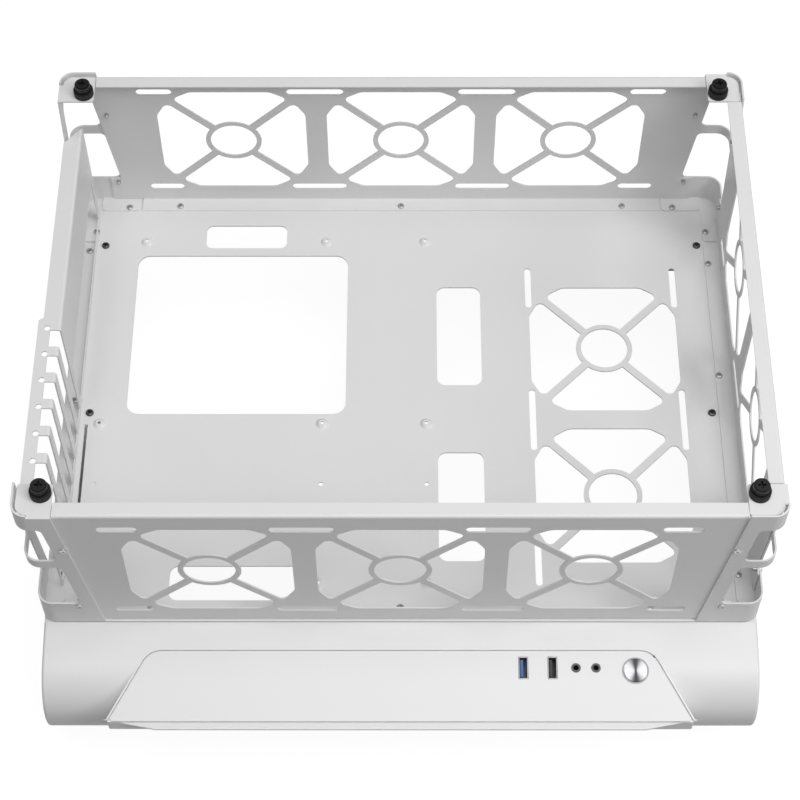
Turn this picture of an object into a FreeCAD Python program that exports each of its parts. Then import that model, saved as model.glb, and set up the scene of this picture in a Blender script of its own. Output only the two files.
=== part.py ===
# Open-frame computer case: a motherboard tray between four corner posts and fan brackets,
# standing on a low base with a white front console that carries the ports and the power button.
# Millimetres, X to the right, Y to the back, Z up. The pieces are drawn about the middle of the frame
# on the floor, and written about the middle of the whole case.
import FreeCAD
import Part
import math
import os
import re

doc = FreeCAD.newDocument("computer_case")
sheet = doc.addObject("Spreadsheet::Sheet", "sizes")

SIZES = [
    ("frame_width", 470.4, "over the corner posts, left to right"),
    ("frame_depth", 351.8, "over the corner posts, front to back"),
    ("rim_height", 137.0, "tray top to the rim of the frame"),
    ("sheet_gauge", 1.0, "tray, brackets and slot panel"),
    ("post_gauge", 1.2, "posts, base skirt and rails"),
    ("bend_inside", 1.0, "inside radius of the folds"),
    ("seam_gap", 1.0, "between neighbouring sheet edges"),
    ("lift_gap", 0.5, "over a sheet that passes below"),
    ("foot_height", 12.0, "rubber foot"),
    ("foot_diameter", 15.0, "rubber foot"),
    ("chamber_height", 91.0, "base skirt, holds an 86 mm power supply"),
    ("fan_pitch", 120.0, "fan size"),
    ("fan_holes", 105.0, "fan screw spacing"),
    ("fan_opening", 105.0, "across the flats of a grille"),
    ("grille_flat", 56.0, "length of a grille flat"),
    ("grille_corner", 87.2, "across the short corner sides of a grille, along an axis"),
    ("grille_round", 9.0, "corners of a grille"),
    ("spoke_round", 4.0, "grille beside a spoke"),
    ("hub_outside", 40.0, "hub ring of a grille"),
    ("hub_inside", 33.0, "hole of the hub ring"),
    ("spoke_width", 5.5, "diagonal spokes of a grille"),
    ("slot_width", 6.0, "fan screw slots"),
    ("slot_long", 40.0, "slot shared by two fans"),
    ("slot_short", 25.0, "slot at the end of a row"),
    ("flange_width", 10.0, "bracket flanges"),
    ("foot_flange_width", 12.0, "bracket flanges on the tray"),
    ("flange_screw_in", 8.1, "front and back flange screws from the bracket's face"),
    ("side_screw_in", 9.6, "side flange screws from the bracket's face"),
    ("wall_setback", 16, "end of a bracket wall from the outer corner"),
    ("wall_foot_setback", 21.5, "the same below the post windows"),
    ("wall_cover", 0.5, "bracket wall behind the edge of a post window"),
    ("post_round", 10.0, "outer corner radius of the posts"),
    ("post_top", 24.6, "post flange length at the rim"),
    ("post_bottom", 41.6, "post flange length on the tray"),
    ("post_band", 9.6, "band between a post window and the flange edge"),
    ("post_stand", 0.2, "post off its bracket, on bosses round the joint screws"),
    ("joint_boss", 7.0, "boss round a joint screw"),
    ("post_lip", 2.5, "lip over the top plate"),
    ("slit_width", 1.5, "slit between plate and lip"),
    ("window_high_top", 122.5, "upper post window"),
    ("window_high_foot", 83.2, "upper post window"),
    ("window_low_top", 75.0, "lower post window"),
    ("window_low_foot", 25.0, "lower post window"),
    ("window_round", 4.0, "corners of the post windows"),
    ("foot_tab_start", 13.2, "post foot from the outer corner"),
    ("foot_tab_end", 42.2, "post foot from the outer corner"),
    ("foot_tab_width", 13.6, "post foot"),
    ("tab_screw_along", 33.7, "post foot screw from the outer corner"),
    ("tab_screw_in", 10.9, "post foot screw from the outer face"),
    ("joint_screw_along", 27.2, "post to bracket screw from the outer corner"),
    ("joint_screw_high", 97.0, "upper post screw over the tray"),
    ("joint_screw_low", 22.0, "lower post screw over the tray"),
    ("pin_inset", 17.6, "panel pin from the outer corner"),
    ("pin_hole", 4.4, "hole for a panel pin"),
    ("collar_diameter", 13.4, "panel pin collar"),
    ("collar_height", 4.5, "panel pin collar"),
    ("pin_head", 10.4, "panel pin screw head"),
    ("pin_total", 10.8, "panel pin over the plate"),
    ("pin_shank", 4.0, "panel pin screw"),
    ("pin_grip", 4.0, "panel pin screw below the plate's top"),
    ("pin_step", 0.8, "step round the top of a panel pin"),
    ("pin_groove", 0.6, "width and depth of the grooves of a panel pin"),
    ("screw_head", 4.8, "small pan head"),
    ("screw_head_height", 1.3, "small pan head"),
    ("tray_screw_head", 5.6, "pan head of a tray screw"),
    ("tray_screw_height", 1.7, "pan head of a tray screw"),
    ("screw_shank", 2.8, "small screw"),
    ("screw_length", 5.0, "small screw"),
    ("screw_hole", 3.2, "hole for a small screw"),
    ("row_first", 133.9, "first row of board standoffs, from the middle"),
    ("board_inset", 180.6, "main column of board standoffs from the frame's left side"),
    ("plain_row", -71.7, "row of plain board holes, from the middle"),
    ("standoff_height", 2.0, "pressed standoff"),
    ("standoff_foot", 9.0, "pressed standoff at the tray"),
    ("standoff_crown", 4.8, "pressed standoff at the top"),
    ("standoff_hole", 2.4, "hole of a standoff"),
    ("board_hole", 3.2, "board screw hole"),
    ("tray_fan_inset", 90.6, "tray fan grilles from the frame's right side"),
    ("tray_fan_row", 40.2, "rear tray fan grille, from the middle"),
    ("tray_slot_long", 49.5, "tray slot shared by two fans"),
    ("tray_slot_short", 34.7, "tray slot at the end"),
    ("io_inset", 11.0, "slot panel wall from the frame's left side"),
    ("io_height", 101.0, "slot panel over the tray"),
    ("io_edge_gap", -0.2, "port part of the top flange from the frame's left side"),
    ("io_low_gap", 0.6, "bottom flange from the frame's left side"),
    ("io_near_gap", 25.5, "slot panel from the frame's front"),
    ("io_far_gap", 17.9, "slot panel from the frame's back"),
    ("panel_screw_in", 7.2, "slot panel screws from the frame's left side"),
    ("aperture_length", 158.75, "port aperture"),
    ("aperture_height", 44.45, "port aperture"),
    ("aperture_foot", 3.9, "port aperture over the tray"),
    ("aperture_near", -7.0, "near end of the port aperture"),
    ("card_pitch", 20.32, "expansion slots"),
    ("card_first", -11.9, "first expansion slot screw"),
    ("card_opening", 13.0, "width of an expansion slot"),
    ("card_hole", 4.0, "expansion slot screw hole"),
    ("card_hole_in", 2.8, "expansion slot screw from the frame's left side"),
    ("card_tab", 3.4, "card part of the top flange beyond the frame's left side"),
    ("card_notch", 6.2, "notch of an expansion slot in the top flange, from the wall"),
    ("card_offset", 1.6, "expansion slot from its screw"),
    ("card_foot", 4.0, "foot of an expansion slot over the tray"),
    ("rail_width", 28.0, "tray rail"),
    ("rail_leg", 6.0, "tray rail against the skirt"),
    ("rail_setback", 17.4, "rail ends from the frame's front and back"),
    ("tray_screw_inset", 18.2, "tray screws from the frame's side"),
    ("foot_rail_width", 16.0, "foot rail"),
    ("foot_rail_leg", 5.0, "foot rail against the skirt"),
    ("foot_setback", 35.9, "feet from the frame's front and back"),
    ("supply_width", 150.0, "power supply face"),
    ("supply_hole", 3.8, "power supply screw hole"),
    ("console_inset", 1.2, "console ends from the frame's sides"),
    ("base_setback", 6.5, "base skirt behind the frame, over the console"),
    ("console_rise", -0.5, "rear edge of the console over the tray top"),
    ("console_wall", 4.0, "console wall"),
    ("console_clearance", 14.0, "console above the floor"),
    ("console_round", 2.0, "console end edges"),
    ("nose_reach", 52.9, "console in front of the frame"),
    ("nose_round", 35.0, "nose radius"),
    ("panel_slope", 12.5, "degrees the port panel leans forward"),
    ("under_slope", 35.0, "degrees the console's underside leans back"),
    ("panel_start", 19.0, "upper edge of the port panel, down the slope"),
    ("panel_length", 46.8, "port panel down the slope"),
    ("panel_top_inset", 70.8, "port panel's upper edge from the frame's sides"),
    ("panel_low_inset", 45.5, "port panel's lower corners from the frame's sides"),
    ("ledge_inset", 76.7, "full width of the ledge from the frame's sides"),
    ("panel_round", 14.0, "upper corners of the port panel"),
    ("panel_tip", 1.5, "lower corners of the port panel"),
    ("panel_rim", 0.8, "brow beside the port panel"),
    ("panel_depth", 1.8, "depth of the port panel's recess"),
    ("panel_gap", 0.7, "groove round the port panel"),
    ("chin_height", 12.6, "front face under the port panel"),
    ("lip_reach", 4.5, "ledge in front of the port panel"),
    ("lip_gauge", 1.6, "ledge in front of the port panel"),
    ("lip_drop", 2.6, "ledge below the panel's front edge"),
    ("port_down", 30.8, "ports, down the slope"),
    ("port_board_depth", 14.4, "port board under the panel's face"),
    ("port_board_gauge", 1.6, "port board"),
    ("usb_long", 14.3, "port shell"),
    ("usb_short", 5.9, "port shell"),
    ("usb_wall", 0.4, "port shell"),
    ("port_gap", 0.3, "round a port"),
    ("jack_diameter", 6.0, "audio jack barrel"),
    ("jack_bore", 3.6, "audio jack bore"),
    ("usb_three_in", 155.2, "blue port from the frame's right side"),
    ("usb_two_in", 136.2, "black port from the frame's right side"),
    ("jack_one_in", 120.9, "first audio jack from the frame's right side"),
    ("jack_two_in", 107.9, "second audio jack from the frame's right side"),
    ("button_in", 82.2, "power button from the frame's right side"),
    ("button_down", 32.6, "power button, down the slope"),
    ("button_diameter", 15.2, "power button cap"),
    ("button_proud", 1.0, "power button above the panel"),
    ("button_gap", 0.3, "round the power button"),
    ("button_travel", 1.2, "power button stroke"),
    ("ring_outside", 17.4, "ring round the power button"),
    ("ring_wall", 0.4, "sleeve of the ring"),
    ("ring_proud", 0.5, "ring above the panel"),
]
for line, (alias, value, note) in enumerate(SIZES, start=1):
    sheet.set("A%d" % line, note)
    sheet.set("B%d" % line, "%g" % value)
    sheet.setAlias("B%d" % line, alias)
doc.recompute()

TRAY_TOP = "foot_height + chamber_height + sheet_gauge"


def val(text):
    """A size, or a sum of sizes, in millimetres."""
    return float(sheet.evalExpression(text))


def linked(text):
    """The same text as an expression that reads the sheet."""
    return re.sub(r"\b([a-z]+_\w+)\b", r"sizes.\1", text)


def vec(x, y, z=0.0):
    return FreeCAD.Vector(x, y, z)


def polygon(points):
    """Closed outline through (x, y, corner radius) points. A fourth item makes the next side an arc."""
    count = len(points)
    entries = []
    for index, point in enumerate(points):
        before = points[index - 1]
        after = points[(index + 1) % count]
        corner = vec(point[0], point[1])
        if point[2] <= 0:
            entries.append((corner, corner, None))
            continue
        one = (vec(before[0], before[1]) - corner).normalize()
        two = (vec(after[0], after[1]) - corner).normalize()
        half = one.getAngle(two) / 2
        run = point[2] / math.tan(half)
        centre = corner + (one + two).normalize() * (point[2] / math.sin(half))
        middle = centre + (corner - centre).normalize() * point[2]
        entries.append((corner + one * run, corner + two * run, middle))
    curves = []
    for index, (enter, leave, middle) in enumerate(entries):
        if middle is not None:
            curves.append(Part.Arc(enter, middle, leave))
        target = entries[(index + 1) % count][0]
        through = points[index][3] if len(points[index]) > 3 else None
        if through is not None:
            curves.append(Part.Arc(leave, vec(*through), target))
        elif (target - leave).Length > 1e-6:
            curves.append(Part.LineSegment(leave, target))
    return curves


def circle(x, y, diameter):
    return [Part.Circle(vec(x, y), vec(0, 0, 1), diameter / 2)]


def rectangle(x0, y0, x1, y1, radius=0.0):
    return polygon([(x0, y0, radius), (x1, y0, radius), (x1, y1, radius), (x0, y1, radius)])


def slot(x, y, long, wide, upright=False):
    """Slot with round ends about its centre."""
    reach = (long - wide) / 2
    edge = wide / 2
    if upright:
        return polygon([(x - edge, y - reach, 0), (x - edge, y + reach, 0, (x, y + reach + edge)),
                        (x + edge, y + reach, 0), (x + edge, y - reach, 0, (x, y - reach - edge))])
    return polygon([(x - reach, y + edge, 0), (x + reach, y + edge, 0, (x + reach + edge, y)),
                    (x + reach, y - edge, 0), (x - reach, y - edge, 0, (x - reach - edge, y))])


def new_body(label):
    body = doc.addObject("PartDesign::Body", label)
    body.Label = label
    return body


def sketch(body, role, loops, level="0"):
    """Closed loops on one of the body's own planes, moved along its normal to a level."""
    drawing = body.newObject("Sketcher::SketchObject", body.Label + "_outline")
    support = [feature for feature in body.Origin.OriginFeatures if feature.Role == role][0]
    drawing.AttachmentSupport = [(support, "")]
    drawing.MapMode = "FlatFace"
    drawing.setExpression("AttachmentOffset.Base.z", linked(level))
    for loop in loops:
        drawing.addGeometry(loop, False)
    return drawing


def pad(body, drawing, length, midplane=False):
    feature = body.newObject("PartDesign::Pad", body.Label + "_pad")
    feature.Profile = drawing
    feature.setExpression("Length", linked(length))
    feature.Midplane = midplane
    body.Tip = feature
    return feature


def pocket(body, drawing, length):
    """Cut to both sides of the sketch, the length in all."""
    feature = body.newObject("PartDesign::Pocket", body.Label + "_cut")
    feature.Profile = drawing
    feature.setExpression("Length", linked(length))
    feature.Midplane = True
    body.Tip = feature
    return feature


def place(item, x="0", y="0", z="0", turn=0.0, axis=(0, 0, 1)):
    """Put an object at sheet-driven coordinates, turned about one axis."""
    item.Placement = FreeCAD.Placement(vec(0, 0, 0), FreeCAD.Rotation(vec(*axis), turn))
    item.setExpression("Placement.Base.x", linked(x))
    item.setExpression("Placement.Base.y", linked(y))
    item.setExpression("Placement.Base.z", linked(z))
    return item


def cylinder(label, diameter, length, x="0", y="0", z="0"):
    item = doc.addObject("Part::Cylinder", label)
    item.setExpression("Radius", linked("(%s) / 2" % diameter))
    item.setExpression("Height", linked(length))
    return place(item, x, y, z)


def box(label, long, wide, tall, x, y, z):
    item = doc.addObject("Part::Box", label)
    item.setExpression("Length", linked(long))
    item.setExpression("Width", linked(wide))
    item.setExpression("Height", linked(tall))
    return place(item, x, y, z)


def fuse(label, items):
    item = doc.addObject("Part::MultiFuse", label)
    item.Shapes = items
    item.Refine = True
    item.Label = label
    return item


def cut(label, base, tool):
    item = doc.addObject("Part::Cut", label)
    item.Base = base
    item.Tool = tool
    item.Refine = True
    item.Label = label
    return item


def shaped(label, shape):
    """Object for a shape that is put together from other shapes."""
    item = doc.addObject("Part::Feature", label)
    item.Shape = shape
    item.Label = label
    return item


NODES = []


def keep(item):
    NODES.append(item)
    return item


# Sizes that several pieces share
half_width = val("frame_width") / 2
half_depth = val("frame_depth") / 2
top = val(TRAY_TOP)
gauge = val("sheet_gauge")
thick = val("post_gauge")
rim = val("rim_height")
fan_middle = rim / 2
hole = val("screw_hole")
# How far a cut runs past the edge of a piece
BEYOND = 5.0


# Fan grille: four sectors between diagonal spokes, and the hole of the hub ring
def grille(x, y):
    flat = val("grille_flat") / 2
    edge = val("fan_opening") / 2
    corner = val("grille_corner") / 2
    offset = val("spoke_width") / math.sqrt(2)
    hub = val("hub_outside") / 2
    slope = (corner - edge) / (corner - flat)
    tip_x = (edge - slope * flat - offset) / (1 - slope)
    tip_y = tip_x + offset
    root_x = (-offset + math.sqrt(2 * hub * hub - offset * offset)) / 2
    root_y = root_x + offset
    bend = val("grille_round")
    tip_bend = val("spoke_round")
    outline = [(-flat, edge, bend), (flat, edge, bend), (tip_x, tip_y, tip_bend),
               (root_x, root_y, 0, (0, hub)), (-root_x, root_y, 0), (-tip_x, tip_y, tip_bend)]
    loops = [circle(x, y, val("hub_inside"))]
    for quarter in range(4):
        cosine = round(math.cos(quarter * math.pi / 2))
        sine = round(math.sin(quarter * math.pi / 2))

        def turned_point(item):
            return [x + item[0] * cosine - item[1] * sine, y + item[0] * sine + item[1] * cosine]

        turned = []
        for point in outline:
            turned.append(turned_point(point) + [point[2]] + [turned_point(mid) for mid in point[3:]])
        loops.append(polygon(turned))
    return loops


def row_of_fans(fans):
    return [(index - (fans - 1) / 2) * val("fan_pitch") for index in range(fans)]


def post_edge(level):
    """Edge of a post's leg from the outer corner, at a height over the tray."""
    return val("post_bottom") - (val("post_bottom") - val("post_top")) * level / rim


# Fan brackets: a wall with a flange folded inwards at the top and at the tray
def fan_bracket(label, span, fans, screw_line, flange_screws):
    body = new_body(label)
    half = val(span) / 2
    inner = val("bend_inside")
    outer = inner + gauge
    high_reach = val("flange_width")
    low_reach = val("foot_flange_width")
    section = polygon([(0, 0, outer), (0, rim, outer), (high_reach, rim, 0), (high_reach, rim - gauge, 0),
                       (gauge, rim - gauge, inner), (gauge, gauge, inner), (low_reach, gauge, 0),
                       (low_reach, 0, 0)])
    pad(body, sketch(body, "YZ_Plane", [section]), "%s - 2 * wall_setback" % span, True)
    centres = row_of_fans(fans)
    loops = []
    for centre in centres:
        loops += grille(centre, fan_middle)
    for side in (-1, 1):
        level = fan_middle + side * val("fan_holes") / 2
        for left, right in zip(centres, centres[1:]):
            loops.append(slot((left + right) / 2, level, val("slot_long"), val("slot_width")))
        for end in (-1, 1):
            slot_x = end * (centres[-1] + val("fan_holes") / 2)
            loops.append(slot(slot_x, level, val("slot_short"), val("slot_width")))
    pocket(body, sketch(body, "XZ_Plane", loops), "4 * sheet_gauge")
    # The ends of the wall stay behind the bands of the posts, clear of their windows
    step = val("window_low_foot")
    above = rim + BEYOND
    foot_end = half - val("wall_foot_setback")
    band = val("post_band - wall_cover")
    ends = []
    joints = []
    for side in (-1, 1):
        ends.append(polygon([(side * foot_end, -BEYOND, 0), (side * foot_end, step, 0),
                             (side * (half - post_edge(step) + band), step, 0),
                             (side * (half - post_edge(above) + band), above, 0),
                             (side * half, above, 0), (side * half, -BEYOND, 0)]))
        for height in ("joint_screw_high", "joint_screw_low"):
            joints.append(circle(side * (half - val("joint_screw_along")), val(height), hole))
    pocket(body, sketch(body, "XZ_Plane", ends), "4 * foot_flange_width")
    pocket(body, sketch(body, "XZ_Plane", joints), "4 * sheet_gauge")
    clear_low = half - val("foot_tab_end + seam_gap")
    clear_high = half - val("post_top + seam_gap / 2")
    for clear, level in ((clear_low, "0"), (clear_high, "rim_height")):
        corners = [rectangle(side * clear, -low_reach, side * half, 2 * low_reach) for side in (-1, 1)]
        pocket(body, sketch(body, "XY_Plane", corners, level), "2 * post_gauge + 2 * lift_gap")
    holes = [circle(spot, val(screw_line), hole) for spot in flange_screws]
    pocket(body, sketch(body, "XY_Plane", holes), "4 * sheet_gauge")
    return keep(body)


BRACKET_SCREWS = (-164.0, 0.0, 164.0)
SIDE_SCREWS = (-113.3, 15.9, 113.3)
FACE_FRONT = "frame_depth / 2 - post_gauge - post_stand"
FACE_SIDE = "frame_width / 2 - post_gauge - post_stand"
front_bracket = fan_bracket("front_fan_bracket", "frame_width", 3, "flange_screw_in", BRACKET_SCREWS)
place(front_bracket, "0", "-(%s)" % FACE_FRONT, TRAY_TOP)
back_bracket = fan_bracket("back_fan_bracket", "frame_width", 3, "flange_screw_in", BRACKET_SCREWS)
place(back_bracket, "0", FACE_FRONT, TRAY_TOP, 180)
side_bracket = fan_bracket("side_fan_bracket", "frame_depth", 2, "side_screw_in", SIDE_SCREWS)
place(side_bracket, FACE_SIDE, "0", TRAY_TOP, 90)


# Corner posts: an angle with a round corner, windows, two feet and a top plate
def corner_post(label, legs):
    body = new_body(label)
    radius = val("post_round")
    long = val("post_bottom")
    inside = radius - thick
    bow = radius * (1 - math.sqrt(0.5))
    bow_in = radius - inside * math.sqrt(0.5)
    section = polygon([(long, 0, 0), (long, thick, 0), (radius, thick, 0, (bow_in, bow_in)),
                       (thick, radius, 0), (thick, long, 0), (0, long, 0), (0, radius, 0, (bow, bow)),
                       (radius, 0, 0)])
    pad(body, sketch(body, "XY_Plane", [section]), "rim_height + post_lip")
    along = val("joint_screw_along")
    heights = (val("joint_screw_high"), val("joint_screw_low"))
    bosses = [circle(along, height, val("joint_boss")) for height in heights]
    middle = "(post_gauge + post_stand) / 2"
    for plane, level in legs:
        pad(body, sketch(body, plane, bosses, level % middle), "post_gauge + post_stand", True)
    ceiling = rim + val("post_lip") + BEYOND
    outside = long + 2 * BEYOND
    windows = [(val("window_%s_foot" % place_name), val("window_%s_top" % place_name)) for place_name in
               ("high", "low")]
    band = val("post_band")
    bend = val("window_round")

    def cuts(start):
        loops = [polygon([(post_edge(-BEYOND), -BEYOND, 0), (outside, -BEYOND, 0), (outside, ceiling, 0),
                          (post_edge(ceiling), ceiling, 0)])]
        for foot, head in windows:
            loops.append(polygon([(start, foot, 0), (post_edge(foot) - band, foot, bend),
                                  (post_edge(head) - band, head, bend), (start, head, 0)]))
        return loops + [circle(along, height, hole) for height in heights]

    pocket(body, sketch(body, "XZ_Plane", cuts(-2)), "2 * post_round")
    pocket(body, sketch(body, "YZ_Plane", cuts(radius - 2)), "2 * post_round")
    lip = [rectangle(radius, rim, outside, ceiling)]
    pocket(body, sketch(body, "XZ_Plane", lip), "2 * post_round")
    slit = thick + val("slit_width")
    plate_end = val("post_top")
    bow_slit = radius - (radius - slit) * math.sqrt(0.5)
    plate = polygon([(radius, 0, 0), (plate_end, 0, 0), (plate_end, plate_end, 2), (slit, plate_end, 2),
                     (slit, radius, 0, (bow_slit, bow_slit)), (radius, slit, 0)])
    pad(body, sketch(body, "XY_Plane", [plate], "rim_height - post_gauge"), "post_gauge")
    first = val("foot_tab_start")
    last = val("foot_tab_end")
    wide = val("foot_tab_width")
    feet = [polygon([(first, thick / 2, 0), (last, thick / 2, 0), (last, wide, 3), (first, wide, 3)]),
            polygon([(thick / 2, first, 0), (wide, first, 3), (wide, last, 3), (thick / 2, last, 0)])]
    pad(body, sketch(body, "XY_Plane", feet), "post_gauge")
    along = val("tab_screw_along")
    across = val("tab_screw_in")
    pocket(body, sketch(body, "XY_Plane", [circle(along, across, hole), circle(across, along, hole)]),
           "4 * post_gauge")
    pin = [circle(val("pin_inset"), val("pin_inset"), val("pin_hole"))]
    pocket(body, sketch(body, "XY_Plane", pin, "rim_height"), "4 * post_gauge")
    return keep(body)


# The legs that carry a bracket have bosses, the two on the left side have none
LEG_X = ("XZ_Plane", "-%s")
LEG_Y = ("YZ_Plane", "%s")
CORNERS = [("front_left", -1, -1, 0, [LEG_X]), ("front_right", 1, -1, 90, [LEG_X, LEG_Y]),
           ("back_right", 1, 1, 180, [LEG_X, LEG_Y]), ("back_left", -1, 1, 270, [LEG_Y])]
for corner_name, side_x, side_y, turn, legs in CORNERS:
    post = corner_post("corner_post_" + corner_name, legs)
    place(post, "%d * frame_width / 2" % side_x, "%d * frame_depth / 2" % side_y, TRAY_TOP, turn)

# Panel pins: a collar and a grooved cross-recess screw on each top plate
PLATE_TOP = TRAY_TOP + " + rim_height"
PIN_SEAT = PLATE_TOP + " + collar_height"
for corner_name, side_x, side_y, turn, legs in CORNERS:
    spot = ("%d * (frame_width / 2 - pin_inset)" % side_x, "%d * (frame_depth / 2 - pin_inset)" % side_y)
    collar = cylinder("collar_round_" + corner_name, "collar_diameter", "collar_height", *spot, PLATE_TOP)
    bore = cylinder("collar_bore_" + corner_name, "pin_hole", "collar_height", *spot, PLATE_TOP)
    keep(cut("pin_collar_" + corner_name, collar, bore))
    tall = "pin_total - collar_height"
    head = cylinder("pin_head_" + corner_name, "pin_head", tall + " - pin_step", *spot, PIN_SEAT)
    cap = cylinder("pin_cap_" + corner_name, "pin_head - 2 * pin_step", tall, *spot, PIN_SEAT)
    shank = cylinder("pin_shank_" + corner_name, "pin_shank", "collar_height + pin_grip", *spot,
                     PLATE_TOP + " - pin_grip")
    solid = fuse("pin_solid_" + corner_name, [head, cap, shank])
    tools = []
    for number in (1, 2):
        level = PIN_SEAT + " + %d * (pin_total - collar_height - pin_step) / 3 - pin_groove / 2" % number
        tail = "_%d_%s" % (number, corner_name)
        outside = cylinder("pin_groove" + tail, "pin_head + 2 * pin_groove", "pin_groove", *spot, level)
        neck = cylinder("pin_neck" + tail, "pin_head - 2 * pin_groove", "pin_groove", *spot, level)
        tools.append(cut("pin_ring" + tail, outside, neck))
    crown = PLATE_TOP + " + pin_total - 0.2 * pin_head"
    blade_long = "pin_head * 0.48"
    blade_wide = "pin_head * 0.12"
    for name, long, wide in (("a_", blade_long, blade_wide), ("b_", blade_wide, blade_long)):
        tools.append(box("pin_cross_" + name + corner_name, long, wide, "0.3 * pin_head",
                         "%s - %s / 2" % (spot[0], long), "%s - %s / 2" % (spot[1], wide), crown))
    keep(cut("pin_screw_" + corner_name, solid, fuse("pin_tool_" + corner_name, tools)))


# Screw places. Vertical screws stand on a flange over the tray, the others join posts and brackets
flange_line = val(FACE_FRONT + " - flange_screw_in")
side_line = val(FACE_SIDE + " - side_screw_in")
post_long = val("tab_screw_along")
post_short = val("tab_screw_in")
FLANGE_SPOTS = [(spot, side * flange_line) for spot in BRACKET_SCREWS for side in (-1, 1)]
FLANGE_SPOTS += [(side_line, spot) for spot in SIDE_SCREWS]
panel_line = -half_width + val("panel_screw_in")
PANEL_SPOTS = [(panel_line, spot) for spot in (half_depth - 51.0, -5.0, 49.1 - half_depth)]
TAB_SPOTS = []
for side_x in (-1, 1):
    for side_y in (-1, 1):
        TAB_SPOTS.append((side_x * (half_width - post_long), side_y * (half_depth - post_short)))
        TAB_SPOTS.append((side_x * (half_width - post_short), side_y * (half_depth - post_long)))
TRAY_SPOTS = [(side * (half_width - val("tray_screw_inset")), spot)
              for side in (-1, 1) for spot in (half_depth - 45.4, -14.6, 39.9 - half_depth)]
THROUGH_TRAY = FLANGE_SPOTS + PANEL_SPOTS + TAB_SPOTS + TRAY_SPOTS

# Motherboard tray: one sheet with the openings, then the pressed standoffs
tray_blank = new_body("tray_blank")
outline = rectangle(-half_width, -half_depth, half_width, half_depth, val("post_round"))
pad(tray_blank, sketch(tray_blank, "XY_Plane", [outline], "foot_height + chamber_height"), "sheet_gauge")
row = val("row_first")
column = -half_width + val("board_inset")
SIDE_SLIT = (15.4 - half_width, -120.0, 17.6 - half_width, -24.0, 0)
# Cut-outs as left, front, right, back, corner radius: cooler, three cable ways, a side slit, a front way
CUTOUTS = [
    (column - 137.2, -15.3, column + 15.9, 121.4, 9),
    (column - 88.6, 128.4, column - 29.4, 148.9, 5),
    (column + 80.3, 8.6, column + 111.8, 93.0, 6),
    (column + 80.3, -131.3, column + 111.8, -46.7, 6),
    SIDE_SLIT,
    (column - 98.9, 15.4 - half_depth, column - 10.4, 40.9 - half_depth, 6),
]
ways = [rectangle(*cutout) for cutout in CUTOUTS]
fan_x = half_width - val("tray_fan_inset")
fan_rows = [val("tray_fan_row"), val("tray_fan_row - fan_pitch")]
half_holes = val("fan_holes") / 2
tray_slot = 4.5
grilles = []
for fan_y in fan_rows:
    grilles += grille(fan_x, fan_y)
for side in (-1, 1):
    slot_x = fan_x + side * half_holes
    grilles.append(slot(slot_x, sum(fan_rows) / 2, val("tray_slot_long"), tray_slot, True))
    grilles.append(slot(slot_x, fan_rows[0] + half_holes, val("tray_slot_short"), tray_slot, True))
    grilles.append(slot(slot_x, fan_rows[1] - half_holes, val("tray_slot_short"), tray_slot, True))
STANDOFFS = [(column - 132.08, row), (column, row), (column + 72.39, row)]
for drop in (157.48, 281.94):
    STANDOFFS += [(column + shift, row - drop) for shift in (-154.94, 0.0, 72.39)]
small = [circle(column + shift, val("plain_row"), val("board_hole")) for shift in (-154.94, 0.0, 72.39)]
small += [circle(spot_x, spot_y, hole) for spot_x, spot_y in THROUGH_TRAY]
feet = [circle(spot_x, spot_y, val("standoff_foot - 2 * sheet_gauge")) for spot_x, spot_y in STANDOFFS]
for loops in (ways, grilles, small, feet):
    pocket(tray_blank, sketch(tray_blank, "XY_Plane", loops, TRAY_TOP), "4 * sheet_gauge")
pressed = [tray_blank]
hollows = []
for number, (spot_x, spot_y) in enumerate(STANDOFFS):
    bump = doc.addObject("Part::Cone", "standoff_%d" % number)
    bump.setExpression("Radius1", linked("standoff_foot / 2"))
    bump.setExpression("Radius2", linked("standoff_crown / 2"))
    bump.setExpression("Height", linked("standoff_height"))
    pressed.append(place(bump, "%.3f" % spot_x, "%.3f" % spot_y, TRAY_TOP))
    hollow = doc.addObject("Part::Cone", "standoff_hollow_%d" % number)
    hollow.setExpression("Radius1", linked("standoff_foot / 2 - sheet_gauge"))
    hollow.setExpression("Radius2", linked("standoff_crown / 2 - sheet_gauge"))
    hollow.setExpression("Height", linked("standoff_height - sheet_gauge"))
    hollows.append(place(hollow, "%.3f" % spot_x, "%.3f" % spot_y, TRAY_TOP))
    hollows.append(cylinder("standoff_hole_%d" % number, "standoff_hole", "standoff_height + sheet_gauge",
                            "%.3f" % spot_x, "%.3f" % spot_y, TRAY_TOP))
keep(cut("motherboard_tray", fuse("tray_pressed", pressed), fuse("tray_hollows", hollows)))

# Port and slot panel: a wall inside the left edge with flanges turned outwards
slot_panel = new_body("io_slot_panel")
wall_out = -half_width + val("io_inset")
wall_in = wall_out + gauge
inner = val("bend_inside")
io_top = val("io_height")
tab_edge = -half_width - val("card_tab")
edge_x = -half_width + val("io_edge_gap")
low_edge = -half_width + val("io_low_gap")
near_end = -half_depth + val("io_near_gap")
far_end = half_depth - val("io_far_gap")
section = polygon([(wall_in, 0, inner + gauge), (wall_in, io_top, inner + gauge), (tab_edge, io_top, 0),
                   (tab_edge, io_top - gauge, 0), (wall_out, io_top - gauge, inner), (wall_out, gauge, inner),
                   (low_edge, gauge, 0), (low_edge, 0, 0)])
blank = pad(slot_panel, sketch(slot_panel, "XZ_Plane", [section], "frame_depth / 2 - io_near_gap"),
            "frame_depth - io_near_gap - io_far_gap")
blank.Reversed = True
beyond = tab_edge - BEYOND
clear_y = half_depth - val("foot_tab_end + seam_gap")
low = [rectangle(beyond, clear_y, wall_in + BEYOND, far_end + BEYOND),
       rectangle(beyond, near_end - BEYOND, wall_in + BEYOND, -clear_y)]
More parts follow.
